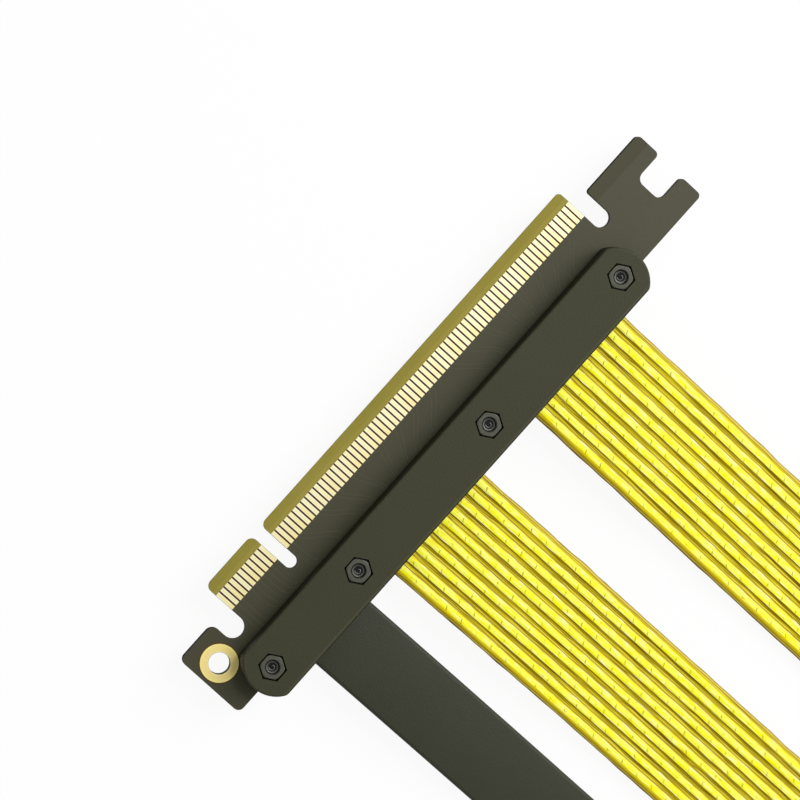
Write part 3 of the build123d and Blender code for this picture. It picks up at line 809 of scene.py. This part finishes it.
def solder_mask(name):
    """The boards' finish, with its colour and relief still to be joined."""
    finish = Finish(name)
    x, y, z = finish.place()
    cloud = finish.noise(45.0, 3.0)
    mask_colour = finish.mix_colour(cloud, colour(65, 64, 46), colour(75, 73, 56))
    relief = finish.noise(700.0, 3.0) * 0.5 + finish.noise(2600.0, 2.0) * 0.3
    return finish, (x, y, z), mask_colour, relief, cloud


socket_mask, _, socket_colour, socket_relief, socket_cloud = solder_mask("socket_mask")
socket_board_finish = socket_mask.surface(
    Base_Color=socket_colour,
    Roughness=socket_cloud * 0.15 + 0.34,
    Specular_IOR_Level=0.12,
    Normal=socket_mask.bump(socket_relief, 0.00004, 0.7),
)

plug_mask, (plug_x, plug_y, plug_z), plug_colour, plug_relief, plug_cloud = solder_mask("plug_mask")
finger_start = finger_low.y / mm
finger_end = finger_high.y / mm
bare_band = plug_y.step(finger_end - 0.03, finger_end + 0.03)
finger_band = plug_y.step(finger_start - 0.03, finger_start + 0.03)
on_card = (plug_x.step(finger_low.x / mm - 0.3, finger_low.x / mm - 0.2)) * (
    1 - plug_x.step(finger_high.x / mm + 0.2, finger_high.x / mm + 0.3)
)
glass_cloud = plug_mask.noise(120.0, 4.0)
glass = plug_mask.mix_colour(glass_cloud, colour(140, 129, 50), colour(156, 144, 64))
# Under the contacts the bare board is dark red-brown: partly its colour, partly painted shade in the narrow
# gaps.
plug_colour = plug_mask.mix_colour(finger_band * on_card, plug_colour, colour(80, 28, 0))
ring_low, ring_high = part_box("plug_hole_ring")
ring_middle = (ring_low + ring_high) / 2 / mm
ring_radius = (ring_high.x - ring_low.x) / 2 / mm
from_ring = ((plug_x - ring_middle.x).math("POWER", 2) + (plug_y - ring_middle.y).math("POWER", 2)).math("SQRT")
ring_line = 1 - from_ring.step(ring_radius + 0.14, ring_radius + 0.26)
plug_colour = plug_mask.mix_colour(ring_line, plug_colour, colour(86, 56, 20))
plug_wall_shade = side_walls(plug_mask)
# Upright edges are painted near black: painted shade.
plug_colour = plug_mask.mix_colour(plug_wall_shade, plug_colour, colour(26, 23, 14))
plug_colour = plug_mask.mix_colour(bare_band, plug_colour, glass)
plug_board_finish = plug_mask.surface(
    Base_Color=plug_colour,
    Roughness=plug_cloud * 0.15 + 0.34 + finger_band * 0.25 + plug_wall_shade * 0.3,
    Specular_IOR_Level=0.2,
    Normal=plug_mask.bump(plug_relief, 0.00004, 0.7),
)


def dress(node_name, material):
    """Give a frame node its finish."""
    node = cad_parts[node_name]
    node.data.materials.clear()
    node.data.materials.append(material)


dress("plug_board", plug_board_finish)
dress("socket_board", socket_board_finish)
print("bare glass from y", round(finger_end, 2), "to", round(board_high.y / mm, 2))

# %% [markdown]
# ## Gold, covers and fasteners
#
# The contacts are plated with hard gold, pale and a little uneven from one
# finger to the next; their edges are painted dark brown, partly as shade of
# the gaps. The covers are moulded with a fine dull texture, and their walls
# and the strip along the clamp's back are painted darker as shade. Nuts and
# screws are steel, blackened in an oxide bath.

# %% Mix gold
def contact_gold(name, edge_reach, edge_tint):
    """Gold for contacts 1 mm apart; past edge_reach their edges are painted dark brown, partly the bare board's
    colour and partly painted shade of the gaps.
    """
    gold = Finish(name)
    gold_x, gold_y, gold_z = gold.place()
    from_middle = (gold_x - first_contact + 0.5).math("FRACT") - 0.5
    number = (gold_x - first_contact + 0.5).math("FLOOR")
    tone = gold.node("ShaderNodeTexWhiteNoise", {"noise_dimensions": "1D"}, W=number)
    patches = gold.noise(900.0, 3.0)
    warm = (tone * 0.4 + patches * 0.6).step(0.25, 0.75)
    towards_tip = gold_y.step(finger_start, finger_end) * 0.6
    face = gold.mix_colour(warm, colour(254, 250, 214), colour(248, 234, 166))
    face = gold.mix_colour(towards_tip, face, colour(255, 252, 222))
    centre = 1 - from_middle.math("ABSOLUTE").step(0.10, 0.28)
    face = gold.mix_colour(centre * edge_tint, face, colour(246, 234, 158))
    # Dark brown edges: partly the bare board's colour, partly painted shade in the gaps.
    gap_shade_brown = from_middle.math("ABSOLUTE").step(edge_reach, edge_reach + 0.05)
    return gold.surface(
        Base_Color=gold.mix_colour(gap_shade_brown, face, colour(84, 32, 4)),
        Metallic=0.35,
        Roughness=patches * 0.15 + 0.30,
        Normal=gold.bump(gold.noise(5000.0, 2.0), 0.00002, 0.5),
    )


first_contact = finger_low.x / mm + 0.39
finger_gold = contact_gold("finger_gold", 0.33, 0.5)
spring_gold = contact_gold("spring_gold", 1.0, 0.0)
print("nodes in the fingers' gold:", len(finger_gold.node_tree.nodes))

# %% Mix the rings' gold


def ring_gold(node_name, hole_radius):
    """Soft gold for the rings of one node, paler along both rims."""
    low, high = (Vector(c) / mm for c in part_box(node_name))
    radius = (high.y - low.y) / 2
    finish = Finish(node_name + "_gold")
    x, y, z = finish.place()
    reach = None
    for middle_x in (low.x + radius, high.x - radius):
        squares = (x - middle_x).math("POWER", 2) + (y - (low.y + high.y) / 2).math("POWER", 2)
        distance = squares.math("SQRT")
        reach = distance if reach is None else reach.math("MINIMUM", distance)
    patches = finish.noise(420.0, 3.0)
    face = finish.node(
        "ShaderNodeValToRGB",
        Fac=(reach - hole_radius) / (radius - hole_radius) + (patches - 0.5) * 0.08,
        ramp=(
            (0.00, colour(150, 124, 60)),
            (0.07, colour(255, 246, 168)),
            (0.22, colour(252, 228, 148)),
            (0.76, colour(250, 230, 140)),
            (0.92, colour(255, 246, 156)),
            (1.00, colour(232, 204, 110)),
        ),
    )
    return finish.surface(
        Base_Color=face,
        Metallic=0.3,
        Roughness=patches * 0.1 + 0.36,
        Normal=finish.bump(finish.noise(3000.0, 2.0), 0.00002, 0.5),
    )


dress("plug_hole_ring", ring_gold("plug_hole_ring", 1.75))
dress("socket_hole_rings", ring_gold("socket_hole_rings", 1.60))
for name in ("plug_contacts_top", "plug_contacts_bottom"):
    dress(name, finger_gold)
for name in ("socket_contacts_plug_side", "socket_contacts_far_side", "socket_contact_pads"):
    dress(name, spring_gold)
print("rings and contacts have their gold")

# %% Mix the moulded plastic, with painted shade and a painted highlight


def moulded(name, dark, light, wall_shade, grain, rough, lip=None):
    """Dull plastic, fine textured on top; its walls and lip are painted darker as shade, with a painted
    highlight inside the lip.
    """
    finish = Finish(name)
    fine = finish.noise(grain, 2.0)
    broad = finish.noise(38.0, 2.0)
    face = finish.mix_colour(broad * 0.7 + fine * 0.3, dark, light)
    if lip is not None:
        y = finish.place()[1].math("ABSOLUTE")
        # A light line just inside the lip is a painted highlight on its rounded edge, and the strip along the
        # lip is painted shade.
        glow = 1 - (y - (lip + 0.42)).math("ABSOLUTE").step(0.04, 0.26)
        face = finish.mix_colour(glow * 0.5, face, colour(74, 75, 56))
        face = finish.mix_colour(1 - y.step(lip + 0.12, lip + 0.24), face, wall_shade)
    return finish.surface(
        # Upright walls take the wall colour: painted shade.
        Base_Color=finish.mix_colour(side_walls(finish), face, wall_shade),
        Roughness=fine * 0.15 + rough,
        Specular_IOR_Level=0.2,
        Normal=finish.bump(fine, 0.00005, 0.7),
    )


cover_plastic = moulded(
    "cover_plastic", colour(52, 53, 34), colour(61, 62, 42), colour(38, 36, 20), 3200.0, 0.46,
    lip=cover_low.y / mm,
)
housing_plastic = moulded(
    "housing_plastic", colour(44, 44, 42), colour(54, 54, 52), colour(40, 40, 38), 2400.0, 0.42
)
for name in ("plug_cover_top", "plug_cover_bottom", "socket_cover_top", "socket_cover_bottom"):
    dress(name, cover_plastic)
dress("socket_housing", housing_plastic)

# %% Mix blackened steel, solder and copper
steel = Finish("black_steel")
steel_grain = steel.noise(2200.0, 4.0)
black_steel = steel.surface(
    Base_Color=steel.mix_colour(steel_grain, colour(60, 61, 50), colour(84, 85, 72)),
    Metallic=0.25,
    Roughness=steel_grain * 0.2 + 0.50,
    Normal=steel.bump(steel_grain, 0.00003, 0.6),
)
tin = Finish("tinned_copper")
tin_grain = tin.noise(3000.0, 3.0)
tinned_copper = tin.surface(
    Base_Color=tin.mix_colour(tin_grain, colour(206, 150, 110), colour(226, 214, 200)),
    Metallic=0.9,
    Roughness=tin_grain * 0.2 + 0.25,
    Normal=tin.bump(tin_grain, 0.00003, 0.6),
)
for end in ("plug", "socket"):
    dress(end + "_solder_pads_top", tinned_copper)
    dress(end + "_solder_pads_bottom", tinned_copper)
    dress(end + "_signal_wires", tinned_copper)
    dress(end + "_power_wires", tinned_copper)
print("the conductors and pads have their finish")

# %% [markdown]
# ## Nuts
#
# A hexagon nut sits in a pocket that is a little wider than it is, which
# leaves a dark line all round. Its corners are turned down in a cone, and
# its hole opens in a small funnel. One ring of vertices makes it: the ring
# starts as the hexagon, shrinks to circles down through the hole, and comes
# back up outside to where it began.

# %% Model the nuts
nut_flats = 3.62
nut_corner = 1.96
nut_hole = 1.14
nut_funnel = 1.28
ring_points = 48


def nut_places(end):
    """Where the nuts of one clamp stand, and the heights of their faces."""
    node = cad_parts[end + "_cover_nuts"]
    low, high = (Vector(c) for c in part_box(end + "_cover_nuts"))
    clusters = []
    for vert in sorted(node.data.vertices, key=lambda v: v.co.x):
        if clusters and vert.co.x - clusters[-1][-1] < 6 * mm:
            clusters[-1].append(vert.co.x)
        else:
            clusters.append([vert.co.x])
    y = (low.y + high.y) / 2
    return [Vector(((c[0] + c[-1]) / 2, y, 0)) for c in clusters], low.z, high.z


def hexagon_reach(turn):
    """How far the nut's side reaches, with its corners turned down round."""
    flat = nut_flats / 2 / math.cos(turn % (math.pi / 3) - math.pi / 6)
    return min(flat, nut_corner)


def add_nut(shape, middle, low, high):
    """One nut: rings round its section, from the upper edge to itself."""
    rounding = nut_flats / 2 - 0.06
    rings = (
        (None, high),
        (rounding, high),
        (nut_funnel, high),
        (nut_hole, high - 0.25 * mm),
        (nut_hole, low),
        (None, low),
        (None, high),
    )

    def ring_at(i):
        reach, height = rings[i]
        ring = []
        for point in range(ring_points):
            turn = 2 * math.pi * point / ring_points
            out = hexagon_reach(turn) if reach is None else reach
            cone = max(0.0, out - rounding) * 0.3 if height == high else 0.0
            place = middle + Vector((math.cos(turn), math.sin(turn), 0)) * out * mm
            place.z = height - cone * mm
            ring.append((place, 0.0, 0.0))
        return ring

    sweep(shape, len(rings), ring_at, capped=False)


def make_nuts(end):
    """The four nuts of one clamp."""
    places, low, high = nut_places(end)
    shape = bmesh.new()
    for middle in places:
        add_nut(shape, middle, low, high)
    bmesh.ops.remove_doubles(shape, verts=shape.verts, dist=0.001 * mm)
    bmesh.ops.recalc_face_normals(shape, faces=shape.faces)
    return add_piece(
        end + "_hex_nuts", shape, black_steel, (end + "_cover_nuts",), smooth=False
    )


make_nuts("plug")
make_nuts("socket")

# %% [markdown]
# ## Screws
#
# The screws come up from below, and their tips show in the nuts. A copy of
# the frame's screws keeps their heads. A cut near the top lets the end be
# drawn in to a blunt cone, and the last turn of the thread is swept over it
# as a little spiral, as it is on a rolled thread.

# %% Mix the threads' steel, with painted shade down in the hole
tip_drop = 0.28
tip_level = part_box("plug_cover_screws")[1].z / mm - tip_drop
thread = Finish("thread_steel")
thread_x, thread_y, thread_z = thread.place()
# Steel down in the gap between screw and nut is painted near black: painted shade.
recess_shade = thread_z.step(tip_level - 1.4, tip_level - 1.2) * (1 - thread_z.step(tip_level + 0.01, tip_level + 0.07))
thread_grain = thread.noise(2200.0, 4.0)
thread_colour = thread.mix_colour(thread_grain, colour(72, 73, 68), colour(96, 97, 91))
thread_steel = thread.surface(
    Base_Color=thread.mix_colour(recess_shade, thread_colour, colour(16, 16, 15)),
    Metallic=0.6,
    Roughness=thread_grain * 0.2 + 0.30 + recess_shade * 0.3,
    Normal=thread.bump(thread_grain, 0.00003, 0.6),
)

# %% Model the screws


def spiral(middle, top):
    """Stations of the thread's last turn, from the side up to the tip."""
    stations = []
    count = 32
    for i in range(count + 1):
        share = i / count
        turn = math.radians(60 + 380 * share)
        reach = (0.68 - 0.50 * share) * mm
        height = top + (0.02 - 0.14 * max(0.0, 1 - share * 3)) * mm
        side = Vector((math.cos(turn), math.sin(turn), 0))
        stations.append((middle + reach * side + Vector((0, 0, height)), side))
    return stations


def add_spiral(shape, middle, top):
    """Sweep a low rounded ridge along the spiral."""
    stations = spiral(middle, top)

    def ring_at(i):
        place, side = stations[i]
        fade = min(1.0, i / 6, (len(stations) - 1 - i) / 6) * 0.85 + 0.15
        ring = []
        for angle in range(0, 360, 45):
            a = math.radians(angle)
            offset = side * math.cos(a) * 0.12 + Vector((0, 0, math.sin(a) * 0.09))
            ring.append((place + offset * fade * mm, 0.0, 0.0))
        return ring

    sweep(shape, len(stations), ring_at)


def make_screws(end):
    """The four screws of one clamp, from a merged copy of the frame's."""
    places, _, _ = nut_places(end)
    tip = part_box(end + "_cover_screws")[1].z
    shape = bmesh.new()
    shape.from_mesh(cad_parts[end + "_cover_screws"].data)
    bmesh.ops.remove_doubles(shape, verts=shape.verts, dist=0.002 * mm)
    bmesh.ops.bisect_plane(
        shape,
        geom=shape.verts[:] + shape.edges[:] + shape.faces[:],
        plane_co=(0, 0, tip - 0.7 * mm),
        plane_no=(0, 0, 1),
    )
    for middle in places:
        ends = [
            v for v in shape.verts if v.co.z > tip - 0.1 * mm and (v.co.xy - middle.xy).length < 3 * mm
        ]
        bmesh.ops.scale(shape, verts=ends, vec=(0.70, 0.70, 1), space=Matrix.Translation(-middle))
        bmesh.ops.translate(shape, verts=ends, vec=(0, 0, -tip_drop * mm))
        add_spiral(shape, middle, tip - tip_drop * mm)
    return add_piece(
        end + "_screws", shape, thread_steel, (end + "_cover_screws",), smooth=False
    )


make_screws("plug")
make_screws("socket")

# %% [markdown]
# ## Copper tracks under the mask
#
# Sixteen pairs of tracks leave the long row of contacts and fan out to the
# ribbons under the clamp. The mask covers them, so they show only as low
# ridges. Each is a narrow section swept along a NURBS line of four points.

# %% Choose where the tracks begin and end
lane_contacts = (14, 19, 23, 27, 33, 37, 41, 45, 50, 54, 58, 62, 66, 70, 74, 78)
track_front = cover_high.y / mm - 0.6
ribbon_middles = (ribbon_1_x / mm, ribbon_2_x / mm)


def contact_x(number):
    """The middle of a contact, counted from one at the short end, in mm."""
    return first_contact + (number - 1) + (2.0 if number > 11 else 0.0)


def pair_x(lane):
    """Where a lane's pair lies in its ribbon, in mm."""
    ribbon, place = divmod(lane, 8)
    return ribbon_middles[ribbon] + (place - 3.5) * 2.5


def track_points(start_x, end_x, lane):
    """The controls of one track: straight down, across, straight down."""
    top = finger_low.y / mm
    reach = max(-4.6, min(4.6, end_x - start_x))
    turn_in = 0.5 + 0.22 * (lane % 4)
    return (
        (start_x, top + 0.05),
        (start_x, top - turn_in),
        (start_x + reach, track_front + 1.6 - 0.25 * (lane % 3)),
        (start_x + reach, track_front),
    )


print("first lane goes from", contact_x(14), "towards", pair_x(0))

# %% Sweep the tracks
track_width = 0.13
track_height = 0.016


def track_line(points):
    """A smooth line on the board's top through a track's controls."""
    data = bpy.data.curves.new("track", "CURVE")
    data.dimensions = "3D"
    spline = data.splines.new("NURBS")
    spline.points.add(len(points) - 1)
    for point, (x, y) in zip(spline.points, points):
        point.co = (x * mm, y * mm, board_top, 1.0)
    spline.order_u = 3
    spline.use_endpoint_u = True
    spline.resolution_u = 10
    holder = bpy.data.objects.new("track", data)
    line = bpy.data.meshes.new_from_object(holder)
    places = [vert.co.copy() for vert in line.vertices]
    bpy.data.objects.remove(holder)
    bpy.data.meshes.remove(line)
    return places


def add_track(shape, points):
    """Sweep a low trapezium along one track's line."""
    places = track_line(points)

    def ring_at(i):
        before = places[max(0, i - 1)]
        after = places[min(len(places) - 1, i + 1)]
        side = (after - before).normalized().cross(Vector((0, 0, 1)))
        ring = []
        for offset, height in ((-0.5, -0.02), (-0.28, track_height), (0.28, track_height), (0.5, -0.02)):
            place = places[i] + side * offset * track_width * mm + Vector((0, 0, height * mm))
            ring.append((place, 0.0, 0.0))
        return ring

    sweep(shape, len(places), ring_at)


tracks = bmesh.new()
for lane, contact in enumerate(lane_contacts):
    for step in (0, 1):
        start_x = contact_x(contact + step)
        end_x = pair_x(lane) + (step - 0.5) * 0.5
        add_track(tracks, track_points(start_x, end_x, lane))
for number in (1, 2, 3, 5, 6, 7, 8, 9, 10, 12, 13):
    start_x = contact_x(number)
    bend = 0.3 if number < 4 else 1.6 + 0.1 * number
    points = (
        (start_x, finger_low.y / mm + 0.05),
        (start_x, track_front + 2.6 - 0.05 * number),
        (start_x + 0.25 * bend, track_front + 1.1),
        (start_x + bend, track_front),
    )
    add_track(tracks, points)
track_mask = Finish("track_mask")
track_cloud = track_mask.noise(45.0, 3.0)
track_finish = track_mask.surface(
    Base_Color=track_mask.mix_colour(track_cloud, colour(79, 78, 60), colour(88, 87, 69)),
    Roughness=track_cloud * 0.15 + 0.34,
    Specular_IOR_Level=0.15,
    Normal=track_mask.bump(track_mask.noise(1500.0, 2.0), 0.00003, 0.6),
)
add_piece("plug_tracks", tracks, track_finish, smooth=False)
